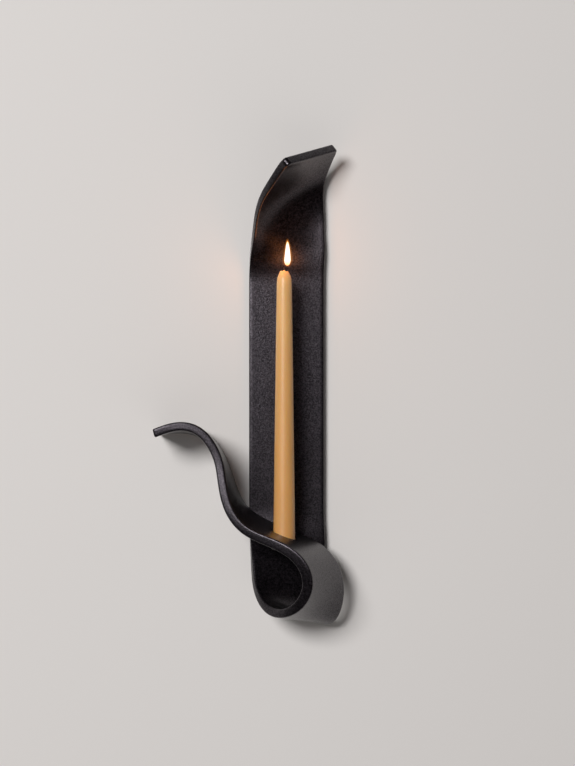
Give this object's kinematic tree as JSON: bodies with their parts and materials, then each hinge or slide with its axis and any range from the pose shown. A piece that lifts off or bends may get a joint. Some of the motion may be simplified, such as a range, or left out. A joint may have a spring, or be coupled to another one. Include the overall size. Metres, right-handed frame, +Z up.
{
  "type": "wall sconce candle holder",
  "caption": "Black cast-metal ribbon sconce for one taper candle: flat back on the wall, curled top, and a twisted loop whose crown holds the candle.",
  "frame": {"origin": "centre of the upper keyhole's round entry hole, on the flat back of the band; the wall itself lies 1.5 mm behind it, at the wall pads' faces", "axes": "+X to the viewer's right, +Y towards the wall, +Z up the flat back"},
  "size_m": [0.1889, 0.102, 0.4832],
  "materials": {
    "black_coat": "textured black powder coat on a cast aluminium band, low sheen",
    "cup_coat": "black powder coat on a turned cup",
    "candle_wax": "ochre beeswax, satin, slightly translucent",
    "wick_cotton": "braided cotton, burnt black where it stands out of the wax",
    "zinc_plate": "zinc-plated sheet steel",
    "screw_steel": "bright zinc-plated screws",
    "pad_rubber": "black self-adhesive rubber pads"
  },
  "bodies": {
    "holder": {"ribbon_band": "black_coat", "candle_cup": "cup_coat", "hanger_plate_upper": "zinc_plate", "hanger_plate_lower": "zinc_plate", "hanger_screws": "screw_steel", "wall_pads": "pad_rubber"},
    "candle": {"taper_candle": "candle_wax", "wick": "wick_cotton"}
  },
  "joints": [
    {"name": "candle_lift", "type": "slide", "parent": "holder", "child": "candle", "axis": [0, 0, 1], "range_m": [0, 0.035]}
  ]
}
